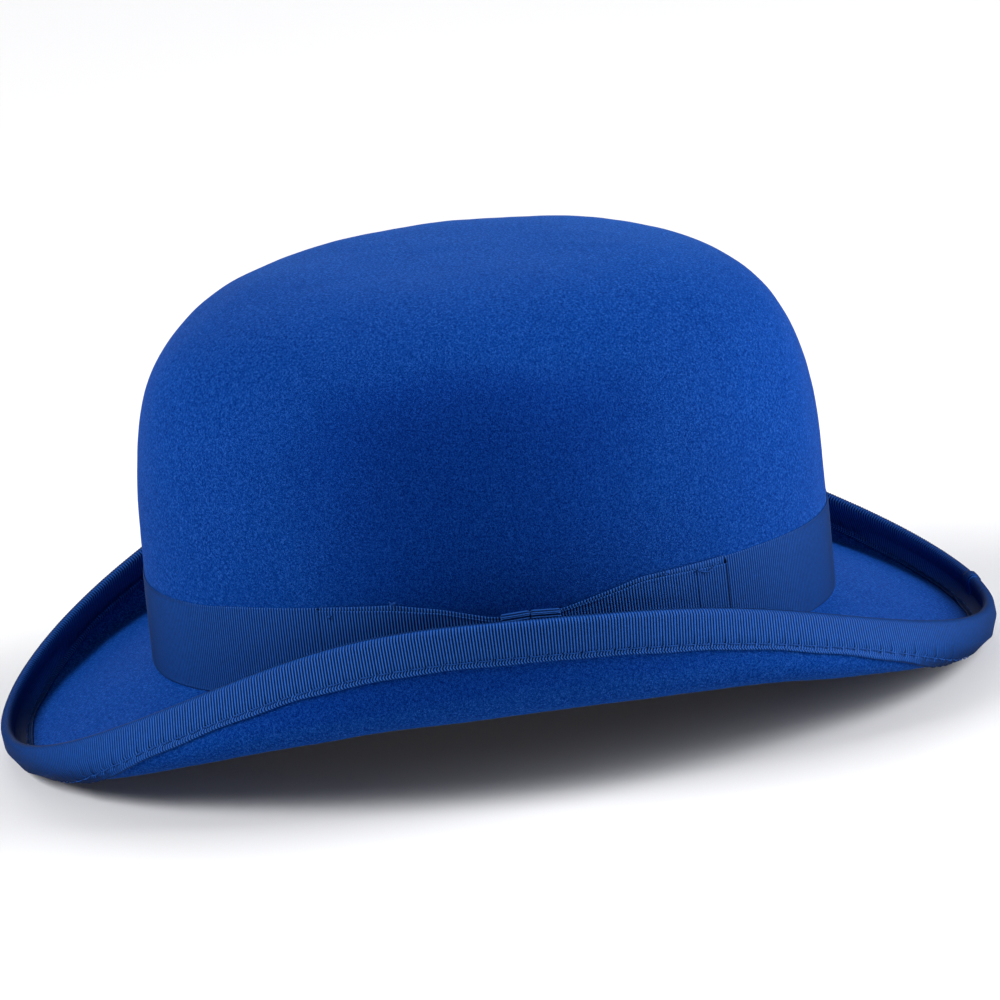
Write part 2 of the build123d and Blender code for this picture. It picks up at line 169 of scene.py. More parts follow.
# Each light's place, its width and height, and its power in watts
LIGHTS = {
    "overhead": ((-0.3, 0.0, 1.9), 1.5, 1.5, 3),
    "front_high": ((0.2, -1.6, 1.2), 1.0, 1.0, 52),
    "rear_high": ((0.2, 1.6, 1.2), 1.0, 1.0, 36),
    "rear_low": ((0.3, 1.8, 0.5), 1.0, 1.0, 33),
    "far_side": ((-1.9, 0.0, 1.0), 1.4, 1.4, 14),
    "near_low": ((1.8, 0.1, 0.22), 1.2, 0.2, 4.5),
}
CAMERA_AZIMUTH = radians(83.72)
CAMERA_ELEVATION = radians(17.06)
CAMERA_ROLL = radians(5.95)
CAMERA_DISTANCE = 2.6
AIM_HEIGHT = 0.040
AIM_RIGHT = 0.00549
AIM_DOWN = 0.00220
SENSOR = 36.0  # in millimetres
PICTURE_WIDTHS = 3.284  # in a metre, at the aim point


def smooth(k):
    """An even ease from 0 to 1 as k goes from 0 to 1."""
    k = np.clip(k, 0, 1)
    return k * k * (3 - 2 * k)


def around(five, theta):
    """A value that runs smoothly round the hat through its five stations."""
    front, front_quarter, side, rear_quarter, rear = five
    ends = (front + rear) / 2
    quarters = (front_quarter + rear_quarter) / 2
    even = (side + ends) / 2
    mean = (even + quarters) / 2
    lean = (rear - front) / 2
    skew = (rear_quarter - front_quarter) / (2 * sin(pi / 4))
    return (
        mean
        + (lean + skew) / 2 * np.sin(theta)
        + (side - ends) / 2 * np.cos(2 * theta)
        + (skew - lean) / 2 * np.sin(3 * theta)
        + (even - quarters) / 2 * np.cos(4 * theta)
    )


def slope(theta, s):
    """Angle of the brim above level, s out from the break line."""
    fall = around(BRIM_FALL, theta)
    curl = smooth((s - around(CURL_START, theta)) / around(CURL_LENGTH, theta))
    return np.radians((around(BRIM_END, theta) + fall) * curl - fall)


def from_break(theta, out, up):
    """Points beside the break line, with no allowance for where the origin is."""
    nx = CROWN_HALF_LENGTH * np.cos(theta)
    ny = CROWN_HALF_WIDTH * np.sin(theta)
    size = np.hypot(nx, ny)
    x = CROWN_HALF_WIDTH * np.cos(theta) + out * nx / size
    y = CROWN_HALF_LENGTH * np.sin(theta) + out * ny / size
    return np.stack(np.broadcast_arrays(x, y, around(BREAK_RISE, theta) + up), -1)


def circle(count):
    """Even angles once round."""
    return TURN * np.arange(count) / count


def settle(points):
    """Moves points from the crown's own centre to the frame's origin."""
    return points - np.array([0.0, MIDDLE, LOWEST])


def brim_run(theta, s, above=0.0):
    """Distance out and height of points s out along the felt's top face, and above it."""
    steps = 32
    out = np.zeros(np.broadcast(theta, s).shape)
    up = np.zeros(out.shape)
    for i in range(steps):
        angle = slope(theta, s * (i + 0.5) / steps)
        out += np.cos(angle) * s / steps
        up += np.sin(angle) * s / steps
    angle = slope(theta, s)
    return out - np.sin(angle) * above, up + np.cos(angle) * above


def outline():
    """Middle of the brim's length, and its lowest height, both of the binding's outside."""
    theta = circle(72)[:, None]
    back = 0.5 * np.arange(31)[None]
    run = brim_run(theta, around(BRIM_WIDTH, theta) - back, -FELT - GAP - RIBBON)
    points = from_break(theta, *run)
    return float(points[..., 1].min() + points[..., 1].max()) / 2, float(points[..., 2].min())


MIDDLE, LOWEST = outline()


def beside(theta, out, up):
    return settle(from_break(theta, out, up))


def on_brim(theta, s, above=0.0):
    return beside(theta, *brim_run(theta, s, above))


def from_rim(theta, back, above=0.0):
    """Points on the brim, a distance back from its edge."""
    return on_brim(theta, around(BRIM_WIDTH, theta) - back, above)


def crown_point(theta, u, g, inset):
    """Points on the crown or inset from it. u is their height and g their spread, as shares of the whole."""
    lean = np.where(np.sin(theta) < 0, FRONT_LEAN, REAR_LEAN)
    x = (CROWN_HALF_WIDTH - inset) * np.cos(theta) * g
    y = (CROWN_HALF_LENGTH - inset) * np.sin(theta) * g * (1 + lean * u) + TOP_SHIFT * u
    z = around(BREAK_RISE, theta) * (1 - u) + (CROWN_HEIGHT - inset) * u
    return settle(np.stack(np.broadcast_arrays(x, y, z), -1))


def on_crown(theta, curve, inset=0.0):
    """Points on the crown. curve runs from 0 degrees at the break line to 90 at the top."""
    u = np.sin(np.radians(curve)) ** (2 / WALL_POWER)
    g = np.maximum(np.cos(np.radians(curve)), 0.0) ** (2 / DOME_POWER)
    return crown_point(theta, u, g, inset)


def on_wall(theta, height, inset=0.0):
    """Points on the crown's wall, by their height above the break line."""
    u = np.asarray(height) / CROWN_HEIGHT
    g = (1 - np.maximum(u, 0) ** WALL_POWER) ** (1 / DOME_POWER)
    return crown_point(theta, u, g, inset)


# Mesh making


def link(name, mesh, slot):
    """Adds a piece that rides on the hat and stands for the CAD node of its name."""
    piece = bpy.data.objects.new(name, mesh)
    bpy.context.scene.collection.objects.link(piece)
    mesh.materials.append(LOOKS[slot])
    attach(piece, "root")
    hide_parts(name)
    return piece


def grid_faces(nu, nv, close_u, close_v):
    """Quads of a grid, and for each corner its place along and across before wrapping."""
    i, j = np.indices((nu if close_u else nu - 1, nv if close_v else nv - 1)).reshape(2, -1)
    along = np.stack([i, i + 1, i + 1, i], 1)
    across = np.stack([j, j, j + 1, j + 1], 1)
    return (along % nu) * nv + across % nv, along, across


def smooth_mesh(name, points, polygons):
    """A smooth-shaded mesh from points in millimetres."""
    mesh = bpy.data.meshes.new(name)
    mesh.from_pydata((points.reshape(-1, 3) * MM).tolist(), [], polygons)
    mesh.polygons.foreach_set("use_smooth", [True] * len(polygons))
    return mesh


def grid_mesh(name, points, close_u=True, close_v=True, uv=None, caps=False):
    """A mesh from points of shape (along, across, 3) in millimetres.
    uv gives values one step past a closed side. caps closes the ends of an open run."""
    nu, nv = points.shape[:2]
    faces, along, across = grid_faces(nu, nv, close_u, close_v)
    polygons = faces.tolist()
    if caps:
        polygons += [list(range(nv))[::-1], list(range((nu - 1) * nv, nu * nv))]
    mesh = smooth_mesh(name, points, polygons)
    if uv is not None:
        u, v = uv
        layer = mesh.uv_layers.new(name="UVMap")
        flat = np.zeros((sum(len(p) for p in polygons), 2), np.float32)
        flat[: faces.size, 0] = u[along, across].ravel()
        flat[: faces.size, 1] = v[along, across].ravel()
        layer.data.foreach_set("uv", flat.ravel())
    return mesh


def weld(mesh, distance=1e-6):
    """Joins equal points, which makes a row of them one pole."""
    shell = bmesh.new()
    shell.from_mesh(mesh)
    bmesh.ops.remove_doubles(shell, verts=shell.verts, dist=distance)
    bmesh.ops.recalc_face_normals(shell, faces=shell.faces)
    shell.to_mesh(mesh)
    shell.free()
    return mesh


def waves(theta, other, seed, count=9, low=2, high=9, reach=0.03):
    """A soft uneven field over the hat, about -1 to 1."""
    rng = np.random.default_rng(seed)
    total = np.zeros(np.broadcast(theta, other).shape)
    for _ in range(count):
        k = rng.integers(low, high)
        total += np.sin(k * theta + rng.uniform(-reach, reach) * 3 * other + rng.uniform(0, TURN))
    return total / count**0.5


def uv_grid(along, across):
    """Texture coordinates of a grid, from its values along and its values across."""
    return along[:, None] + 0 * across[None], across[None] + 0 * along[:, None]


def looped(values):
    """Values round a closed section, with the first again at the end."""
    return np.concatenate([values, values[:1]])


def through(rows):
    """A curve through rows of numbers, by their place in the list."""
    index = np.arange(len(rows))
    return lambda t: np.stack([np.interp(t, index, column) for column in np.transpose(rows)], -1)


def unit(vectors):
    return vectors / np.maximum(np.linalg.norm(vectors, axis=-1, keepdims=True), 1e-9)


def distances(points):
    """Distance along a line of points to each of them."""
    return np.concatenate([[0], np.cumsum(np.linalg.norm(np.diff(points, axis=0), axis=1))])


def even_steps(curve, start, end, pitch, columns):
    """Values of a parameter at even distances along a curve, a whole number of pitches in all."""
    t = np.linspace(start, end, 4001)
    run = distances(curve(t))
    count = round(run[-1] / pitch) * columns
    want = np.linspace(0, run[-1], count + 1)
    return np.interp(want, run, t), want


# Materials


class Nodes:
    """A material's node tree, with short names for what these materials use."""

    def __init__(self, name):
        self.material = bpy.data.materials.new(name)
        self.material.use_nodes = True
        self.tree = self.material.node_tree
        self.shader = self.tree.nodes["Principled BSDF"]
        self.coord = self.tree.nodes.new("ShaderNodeTexCoord")

    def link(self, a, b):
        self.tree.links.new(a, b)

    def add(self, kind, **inputs):
        """A new node. Sockets that share a name are given by number, as i0, i1 and so on."""
        node = self.tree.nodes.new(kind)
        for key, value in inputs.items():
            socket = node.inputs[int(key[1:])] if key[0] == "i" and key[1:].isdigit() else node.inputs[key]
            if isinstance(value, bpy.types.NodeSocket):
                self.link(value, socket)
            else:
                socket.default_value = value
        return node

    def noise(self, scale, detail=2.0, rough=0.5, coord="Object", stretch=None):
        vector = self.coord.outputs[coord]
        if stretch:
            vector = self.add("ShaderNodeMapping", Vector=vector, Scale=stretch).outputs[0]
        node = self.add("ShaderNodeTexNoise", Vector=vector, Scale=scale, Detail=detail, Roughness=rough)
        return node.outputs["Fac"]

    def math(self, kind, *values):
        node = self.add("ShaderNodeMath", **{f"i{i}": value for i, value in enumerate(values)})
        node.operation = kind
        return node.outputs[0]

    def multiply_add(self, value, factor, more):
        return self.math("MULTIPLY_ADD", value, factor, more)

    def ramp(self, value, *stops):
        node = self.add("ShaderNodeValToRGB", Fac=value)
        elements = node.color_ramp.elements
        while len(elements) < len(stops):
            elements.new(0.5)
        for element, (place, colour) in zip(elements, stops):
            element.position = place
            element.color = (*colour, 1)
        return node.outputs["Color"]

    def mix(self, factor, a, b, kind="MIX"):
        node = self.tree.nodes.new("ShaderNodeMix")
        node.data_type = "RGBA"
        node.blend_type = kind
        for socket, value in ((0, factor), (6, a), (7, b)):
            if isinstance(value, bpy.types.NodeSocket):
                self.link(value, node.inputs[socket])
            else:
                node.inputs[socket].default_value = value
        return node.outputs[2]

    def darken(self, factor, colour, value, dark, white):
        """Multiplies a colour by a ramp on a value, from a stop of a dark colour up to white."""
        return self.mix(factor, colour, self.ramp(value, dark, (white, (1, 1, 1))), "MULTIPLY")

    def uv(self):
        """Places along and across, from the texture coordinates."""
        return self.add("ShaderNodeSeparateXYZ", Vector=self.coord.outputs["UV"]).outputs[:2]

    def stripes(self, place, pitch, kind="SINE"):
        """A wave of the given pitch, from -1 to 1."""
        return self.math(kind, self.math("MULTIPLY", place, TURN / pitch))

    def by_angle(self, *stops):
        """A colour by how squarely the surface faces the viewer: 0 is square on, 1 is edge on."""
        return self.ramp(self.add("ShaderNodeLayerWeight", Blend=0.5).outputs["Facing"], *stops)

    def bump(self, height, strength, distance, normal=None):
        inputs = {"Height": height, "Strength": strength, "Distance": distance}
        if normal is not None:
            inputs["Normal"] = normal
        return self.add("ShaderNodeBump", **inputs).outputs[0]

    def finish(self, colour, roughness, normal, **constants):
        self.link(colour, self.shader.inputs["Base Color"])
        self.link(roughness, self.shader.inputs["Roughness"])
        self.link(normal, self.shader.inputs["Normal"])
        for key, value in constants.items():
            self.shader.inputs[key.replace("_", " ")].default_value = value
        return self.material


def scaled(colour, k):
    return tuple(c * k for c in colour)


def felt_material():
    """Short-napped fur felt: matted fibres, a soft sheen at grazing angles, and painted shade where it faces
    the viewer square on.
    """
    n = Nodes("felt")
    grain = n.noise(3400, 2, 0.65)
    tuft = n.noise(1400, 3, 0.6)
    cloud = n.noise(28, 3, 0.55)
    # looked at along the surface, the grain closes up and the tufts are what shows
    mottle = n.mix(n.by_angle((0.08, (0.36, 0.36, 0.36)), (0.45, (0.56, 0.56, 0.56))), grain, tuft)
    colour = n.ramp(mottle, *zip((0.38, 0.50, 0.62), FELT_BLUES))
    # painted shade: the colour is multiplied darker where the felt faces the viewer square on, standing in
    # for the sheen of its nap
    nap_painted_shade = n.by_angle((0.0, (0.45, 0.63, 0.77)), (0.06, (0.6, 0.76, 0.88)), (0.14, (1, 1, 1)))
    colour = n.mix(1.0, colour, nap_painted_shade, "MULTIPLY")
    colour = n.darken(0.5, colour, cloud, (0.3, (0.82, 0.86, 0.9)), 0.7)
    rough = n.multiply_add(cloud, 0.1, 0.82)
    normal = n.bump(mottle, 0.7, 0.0003)
    sheen = {"Sheen_Weight": 0.12, "Sheen_Roughness": 0.4, "Sheen_Tint": (0.05, 0.33, 1.0, 1)}
    shine = {"Specular_IOR_Level": 0.05, "Specular_Tint": (0.2, 0.5, 1.0, 1)}
    return n.finish(colour, rough, normal, **sheen, **shine)


def grosgrain_material(name, groove, side, crest):
    """Ribbed ribbon, with painted light: the crests of its ribs are painted lighter as a highlight, and the
    grooves between them painted dark as shade.
    """
    n = Nodes(name)
    along, across = n.uv()
    rib = n.multiply_add(n.stripes(along, 1, "COSINE"), 0.5, 0.4)
    uneven = n.noise(900, 2, 0.6)
    shade = n.multiply_add(uneven, 0.25, rib)
    # painted light: the colour follows the ribs, a painted highlight on each crest and painted shade in each
    # groove
    colour = n.ramp(shade, (0.2, groove), (0.58, side), (0.98, crest))
    colour = n.darken(0.2, colour, n.stripes(across, THREAD_PITCH), (0.0, (0.6, 0.6, 0.6)), 0.8)
    # painted shade: looked at along the ribbon, where one rib hides the next, its colour turns plain, a
    # little lighter at middling angles and darker towards edge on
    shades = ((0.15, 1.1), (0.34, 1.1), (0.5, 0.55), (0.72, 0.22))
    plain_glancing_shade = n.by_angle(*((place, scaled(side, k)) for place, k in shades))
    plain_glancing_shade = n.darken(0.5, plain_glancing_shade, uneven, (0.35, (0.4, 0.5, 0.55)), 0.62)
    colour = n.mix(n.by_angle((0.08, (0, 0, 0)), (0.48, (0.88, 0.88, 0.88))), colour, plain_glancing_shade)
    rough = n.multiply_add(uneven, 0.15, 0.6)
    normal = n.bump(n.noise(1500, 2, 0.5), 0.3, 0.0001)
    return n.finish(colour, rough, normal, Specular_IOR_Level=0.08, Specular_Tint=(0.35, 0.55, 1.0, 1))


def thread_material(name, base):
    """Twisted sewing thread."""
    n = Nodes(name)
    twist = n.noise(1400, 2, 0.5, stretch=(1.0, 1.0, 2.2))
    colour = n.ramp(twist, (0.3, scaled(base, 0.6)), (0.7, scaled(base, 1.2)))
    rough = n.multiply_add(twist, 0.2, 0.5)
    return n.finish(colour, rough, n.bump(twist, 0.5, 0.0001), Specular_IOR_Level=0.05)


def leather_material():
    """Thin brown hat leather with a fine grain, darker in its pores."""
    n = Nodes("leather")
    cells = n.add("ShaderNodeTexVoronoi", Vector=n.coord.outputs["Object"], Scale=1100.0)
    cells.feature = "DISTANCE_TO_EDGE"
    cloud = n.noise(45, 4, 0.6)
    pores = n.math("MINIMUM", n.math("MULTIPLY", cells.outputs[0], 4.0), 1.0)
    colour = n.ramp(cloud, (0.3, (0.095, 0.038, 0.015)), (0.7, (0.165, 0.073, 0.031)))
    colour = n.darken(0.4, colour, pores, (0.0, (0.45, 0.4, 0.35)), 0.6)
    rough = n.multiply_add(cloud, 0.22, 0.30)
    return n.finish(colour, rough, n.bump(pores, 0.35, 0.0001), Specular_IOR_Level=0.45)


def satin_material():
    """Lining satin: long floats that shine along one way of the cloth."""
    n = Nodes("satin")
    along, _ = n.uv()
    floats = n.noise(2.2, 3, 0.55, coord="UV", stretch=(3.2, 0.35, 1.0))
    cloud = n.noise(30, 3, 0.5)
    colour = n.ramp(floats, (0.3, (0.008, 0.022, 0.09)), (0.7, (0.018, 0.046, 0.165)))
    colour = n.darken(0.35, colour, cloud, (0.3, (0.75, 0.78, 0.85)), 0.7)
    rough = n.multiply_add(floats, 0.16, 0.22)
    normal = n.bump(n.stripes(along, THREAD_PITCH), 0.12, 0.00004)
    normal = n.bump(floats, 0.25, 0.0001, normal)
    return n.finish(colour, rough, normal, Anisotropic=0.5, Specular_IOR_Level=0.55, Sheen_Weight=0.1)


def woven_material(name, light, dark, pitch):
    """Plain-woven tape or ticket cloth, with its threads over and under."""
    n = Nodes(name)
    warp, weft = (n.stripes(place, pitch) for place in n.uv())
    weave = n.multiply_add(n.math("MULTIPLY", warp, weft), 0.5, 0.5)
    colour = n.ramp(weave, (0.1, dark), (0.9, light))
    cloud = n.noise(120, 3, 0.6)
    colour = n.darken(0.3, colour, cloud, (0.3, (0.75, 0.75, 0.75)), 0.7)
    rough = n.multiply_add(cloud, 0.15, 0.68)
    return n.finish(colour, rough, n.bump(weave, 0.4, 0.0001), Sheen_Weight=0.15, Specular_IOR_Level=0.3)


def cane_material():
    """Split cane, with its long grain."""
    n = Nodes("cane")
    grain = n.noise(300, 4, 0.6, stretch=(1.0, 1.0, 5.0))
    colour = n.ramp(grain, (0.3, (0.30, 0.19, 0.09)), (0.7, (0.55, 0.42, 0.25)))
    rough = n.multiply_add(grain, 0.2, 0.4)
    return n.finish(colour, rough, n.bump(grain, 0.3, 0.0001), Specular_IOR_Level=0.4)


# The look of each material slot in the record
LOOKS = {
    "felt": felt_material(),
    "grosgrain": grosgrain_material("grosgrain", *RIBBON_BLUES),
    "thread": thread_material("thread", (0.006, 0.048, 0.23)),
    "pale_thread": thread_material("pale_thread", (0.42, 0.30, 0.17)),
    "leather": leather_material(),
    "satin": satin_material(),
    "tape": woven_material("tape", (0.035, 0.036, 0.045), (0.008, 0.008, 0.012), 0.5),
    "ticket": woven_material("ticket", (0.78, 0.75, 0.68), (0.55, 0.52, 0.46), 0.4),
    # the small bow's ribbon: its groove colour is painted shade and its crest colour a painted highlight
    "trim_ribbon": grosgrain_material("trim_ribbon", (0.006,) * 3, (0.02, 0.021, 0.03), (0.05, 0.052, 0.07)),
    "reed": cane_material(),
}


# Felt


def felt_body():
    """Crown and brim in one shell, from the top outside, round the rim, to the top inside."""
    theta = circle(FELT_COLUMNS)[:, None]
    curve = np.concatenate([[90, 89.6, 88.4], np.linspace(86.5, 4, 66), [1.5, 0.3]])[None]
    shares = np.linspace(0, 1, 46)[None]
    width = around(BRIM_WIDTH, theta)
    outside = on_crown(theta, curve)
    top = on_brim(theta, (width - FELT / 2) * shares)
    turn = np.radians(np.linspace(0, 180, 7)[1:-1])[None]
    edge = from_rim(theta, FELT / 2 * (1 - np.sin(turn)), FELT / 2 * (np.cos(turn) - 1))
    under = on_brim(theta, (width - FELT / 2) * (1 - shares), -FELT)
    inside = on_crown(theta, np.concatenate([[2], np.linspace(8, 88, 24), [90]])[None], FELT)
    points = np.concatenate([outside, top, edge, under, inside], 1)
    # the ribbons hold the felt flat, and between them it is free to be uneven
    height = CROWN_HEIGHT * np.sin(np.radians(curve)) ** (2 / WALL_POWER) + 0 * theta
    wall = smooth((height - BAND_WIDTH - 3) / FREE_EDGE)
    brim = smooth(width * shares / FREE_EDGE) * smooth((width * (1 - shares) - BINDING_INSIDE) / FREE_EDGE)
    free = [wall, brim, 0 * edge[..., 0], brim[:, ::-1], 0 * inside[..., 0]]
    points = nap(points, np.concatenate(free, 1))
    mesh = weld(grid_mesh("felt_body", points, True, False))
    link("felt_body", mesh, "felt")


def lumps(points, seed, size, count=14):
    """A soft uneven field in space, about -1 to 1, whose lumps are about size across."""
    rng = np.random.default_rng(seed)
    total = np.zeros(points.shape[:-1])
    for _ in range(count):
        way = rng.normal(size=3)
        way *= rng.uniform(0.6, 1.4) / size / np.linalg.norm(way)
        total += np.sin(TURN * (points @ way) + rng.uniform(0, TURN))
    return total * (2 / count) ** 0.5


def nap(points, free):
    """Moves the felt's surface in and out a little, unevenly, where no ribbon holds it."""
    along = np.roll(points, -1, 0) - np.roll(points, 1, 0)
    across = np.gradient(points, axis=1)
    normal = np.cross(along, across)
    free = free * (np.linalg.norm(normal, axis=2) > 1e-6)
    amount = sum(depth * lumps(points, seed, size) for depth, seed, size in NAP) * free
    return points + unit(normal) * amount[..., None]


# Ribbons


def ribbon_rows(width):
    """Places across a ribbon, and there its half thickness and its ribs' strength, as shares of the whole."""
    edge = [(0.0, 0.0, 0.1), (0.06, 0.62, 0.35), (0.3, 1.15, 0.6), (0.62, 1.12, 0.7)]
    edge += [(0.95, 0.85, 0.8), (1.5, 1.0, 1.0)]
    middle = [(v, 1.0, 1.0) for v in np.linspace(1.5, width - 1.5, 6)[1:-1]]
    outer = edge + middle + [(width - v, half, rib) for v, half, rib in edge[::-1]]
    back = [(width - 0.3, -0.9, 0.4), (width - 1.5, -0.9, 0.7), (width / 2, -0.9, 0.8)]
    back += [(1.5, -0.9, 0.7), (0.3, -0.9, 0.4)]
    return np.array(outer + back)


def ribbed(place, run, width, thick, depth=RIB_DEPTH):
    """Points and rib coordinates of a ribbed ribbon. place takes distances along, across and out."""
    v, half, strength = ribbon_rows(width).T
    profile = np.cos(TURN * run / RIB)[:, None]
    edge = np.sign(v - width / 2) * (np.minimum(v, width - v) < 0.2)
    across = v + RIB_TOOTH * profile * edge
    out = half * thick / 2 + np.sign(half) * depth / 2 * strength * (profile - RIB_SINK)
    return place(run[:, None] + 0 * across, across, out), uv_grid(run / RIB, looped(v))


def eased(theta, *stations, reach=1.2):
    """A smooth value round the hat from pairs of degrees and value."""
    degree, value = np.array(stations).T
    nearby = [np.interp(np.degrees(theta) + k * reach, degree, value) for k in (-1, -0.5, 0, 0.5, 1)]
    return sum(nearby) / len(nearby)


def hat_band():
    """Ribbon round the foot of the crown, with its ends under the bow's knot."""
    line = lambda t: on_wall(t, 12.0, -GAP)  # its length is measured at this height
    steps, run = even_steps(line, BAND_END, TURN - BAND_END, RIB, RIB_COLUMNS)

    def place(u, v, out):
        theta = np.interp(u, run, steps)
        side = (theta + pi) % TURN - pi
        height = GAP + v + eased(side, *BAND_RISE) + eased(side, *BAND_DRAW) * v / BAND_WIDTH
        snug = 0.16 * np.exp(-(BAND_WIDTH - v) / 2.0)
        return on_wall(theta, height, -GAP - BAND_RIBBON / 2 - out + snug)

    points, uv = ribbed(place, run, BAND_WIDTH - GAP, BAND_RIBBON)
    mesh = grid_mesh("hat_band", points, False, True, uv, caps=True)
    piece = link("hat_band", mesh, "grosgrain")


def wrapped(theta, v, out):
    """Points of the folded binding. v runs across the ribbon from its edge inside the rim."""
    over = np.clip(v - INSIDE_LEG, 0, pi * WRAP_RADIUS)
    turn = over / WRAP_RADIUS
    beyond = np.maximum(v - INSIDE_LEG - pi * WRAP_RADIUS, 0)
    back = np.maximum(INSIDE_LEG - v, 0) + beyond + FELT / 2 - (WRAP_RADIUS + out) * np.sin(turn)
    return from_rim(theta, back, (WRAP_RADIUS + out) * np.cos(turn) - FELT / 2)


def binding_rows():
    """Places across the binding, and there its half thickness and its ribs' strength."""
    edge = [(0, 0, 0.1), (0.06, 0.6, 0.4), (0.3, 1.2, 0.9), (0.6, 1.2, 0.9), (0.9, 0.4, 0.3), (1.2, 1.1, 0.9)]
    edge += [(1.55, 0.9, 0.8), (BINDING_SEAM, 0.7, 0.8), (BINDING_SEAM + 0.7, 1, 1)]
    inside = [(v, 1, 1) for v in np.linspace(BINDING_SEAM + 0.7, INSIDE_LEG, 4)[1:]]
    over = [(INSIDE_LEG + pi * WRAP_RADIUS * k / 4, 1, 1) for k in (1, 2, 3, 4)]
    outside = [(v, 1, 1) for v in np.linspace(over[-1][0], BINDING_ACROSS - BINDING_SEAM - 0.7, 4)[1:-1]]
    end = [(BINDING_ACROSS - v, half, rib) for v, half, rib in edge[::-1]]
    front = edge + inside + over + outside + end
    # the side against the felt has only some of these places
    behind = [v for v, _, _ in front[2:11:4] + front[11:13] + front[14:16] + front[17:-2:4]]
    return np.array(front + [(v, -0.85, 0) for v in behind[::-1]])


def brim_binding():
    """Ribbon folded over the rim and sewn through, its ends lapped at the rear."""
    rim = lambda t: from_rim(t, 0.0, -FELT / 2)
    steps, run = even_steps(rim, REAR, REAR + TURN, RIB, BINDING_COLUMNS)
    total = run[-1]
    pitch = total / BINDING_STITCHES
    v, half, strength = (k[None] for k in binding_rows().T)
    u = run[:-1][:, None]
    theta = np.interp(u, run, steps)
    below = np.maximum(v - INSIDE_LEG - pi * WRAP_RADIUS, 0)
    # the ribs lean a little below the rim
    shear = -BINDING_SHEAR * np.sin(theta) * np.cos(theta / 2) ** 2 * below
    theta = np.interp((u + shear) % total, run, steps)
    seams = (BINDING_SEAM, BINDING_ACROSS - BINDING_SEAM)
    past = np.maximum(seams[0] - v, 0) + np.maximum(v - seams[1], 0)  # from a seam towards the free edge
    near = np.minimum(np.abs(v - seams[0]), np.abs(v - seams[1]))
    slant = SELVEDGE_SLANT * np.minimum(past, 2 * SELVEDGE_ROW - past)  # a plait of two rows
    front = half > -0.5
    profile = np.cos(TURN * (u / RIB + slant)) - RIB_SINK
    out = half * RIBBON / 2 + np.sign(half) * RIB_DEPTH / 2 * strength * profile
    # each stitch pulls the ribbon in at its end, and between stitches the free edges lift and wander
    place = (u / pitch) % 1.0 - 0.5
    out -= front * DIMPLE * np.exp(-((place * pitch / DIMPLE_REACH) ** 2) - (near / DIMPLE_REACH) ** 2)
    out -= front * SEAM_GROOVE * np.exp(-((near / SEAM_REACH) ** 2))
    lift = 0.10 * (1 + np.cos(TURN * place + pi)) + 0.06 * np.abs(waves(theta, u, 11, 8, 20, 60, 0.02))
    out += front * lift * past / BINDING_SEAM
    inner = v < INSIDE_LEG
    wander = waves(theta, u, 5, 9, 9, 40, 0.01) * np.where(inner, 0.45, 0.16)
    reach = np.clip(np.where(inner, INSIDE_LEG - v, below) / OUTSIDE_LEG, 0, 1)
    across = v + np.where(inner, -1, 1) * wander * reach
    # the ends lap each other at the rear
    from_lap = np.abs((u + total / 2) % total - total / 2 - LAP_PLACE)
    out += front * LAP_RISE * (1 - smooth((from_lap - LAP_HALF) / LAP_EASE))
    phase, wide = uv_grid(run / RIB, looped(v[0]))
    uv = (phase + looped(slant[0])[None], wide)
    mesh = grid_mesh("brim_binding", wrapped(theta, across, out), True, True, uv)
    piece = link("brim_binding", mesh, "grosgrain")
    binding_stitches(steps, run, seams)


def tube_mesh(name, paths, radius, sides=6):
    """Closed tubes of one radius along many paths at once: paths has shape (tubes, steps, 3)."""
    count, steps = paths.shape[:2]
    along = unit(np.gradient(paths, axis=1))
    side = unit(np.cross(along, [0.31, 0.17, 0.93]))  # a way that no path takes
    top = np.cross(side, along)
    angle = circle(sides)[:, None]
    taper = np.ones((steps, 1, 1))
    taper[[0, -1]] = 0.35
    outward = side[:, :, None] * np.cos(angle) + top[:, :, None] * np.sin(angle)
    points = paths[:, :, None] + outward * radius * taper
    faces, _, _ = grid_faces(steps, sides, False, True)
    ends = np.array([range(sides)[::-1], range((steps - 1) * sides, steps * sides)])
    polygons = []
    for first in range(0, count * steps * sides, steps * sides):
        polygons += (faces + first).tolist() + (ends + first).tolist()
    return smooth_mesh(name, points, polygons)


def binding_stitches(steps, run, seams):
    """The binding's running stitch, seen on the outside and the inside of the rim."""
    total = run[-1]
    pitch = total / BINDING_STITCHES
    rng = np.random.default_rng(23)
    share = np.linspace(0, 1, 9)[None]
    arch = np.sin(pi * share) ** 0.6
    paths = []
    for across in seams:
        start = pitch * (np.arange(BINDING_STITCHES) + 0.56)[:, None]
        start = start + rng.uniform(-0.25, 0.25, (BINDING_STITCHES, 1))
        slant = rng.uniform(-0.15, 0.15, (BINDING_STITCHES, 1)) * (share - 0.5)
        theta = np.interp((start + pitch * 0.86 * share) % total, run, steps)
        paths.append(wrapped(theta, across + slant, RIBBON / 2 - 0.30 + 0.44 * arch))
    mesh = tube_mesh("binding_stitches", np.concatenate(paths), 0.16)
    link("binding_stitches", mesh, "thread")


# Bow


def loop_path(first, last, inner, outer, radius, counts):
    """Angle and distance out of a ribbon with a loop on each side, from its ends in the middle.
    first and last are the loops' angles, and counts the points in a layer behind, a turn and the face."""
    behind, turn, face = counts
    half = (outer - inner) / 2
    middle = (inner + outer) / 2
    angle = np.radians(np.linspace(0, 180, turn)[1:-1])
    reach = half / radius * np.sin(angle)
    there = np.linspace(0.02, 1, behind)
    parts = (
        (first * there, np.full(behind, inner)),
        (first - reach, middle - half * np.cos(angle)),
        (np.linspace(first, last, face), np.full(face, outer)),
        (last + reach, middle + half * np.cos(angle)),
        (last * there[::-1], np.full(behind, inner)),
    )
    return np.concatenate([np.stack(part, 1) for part in parts])


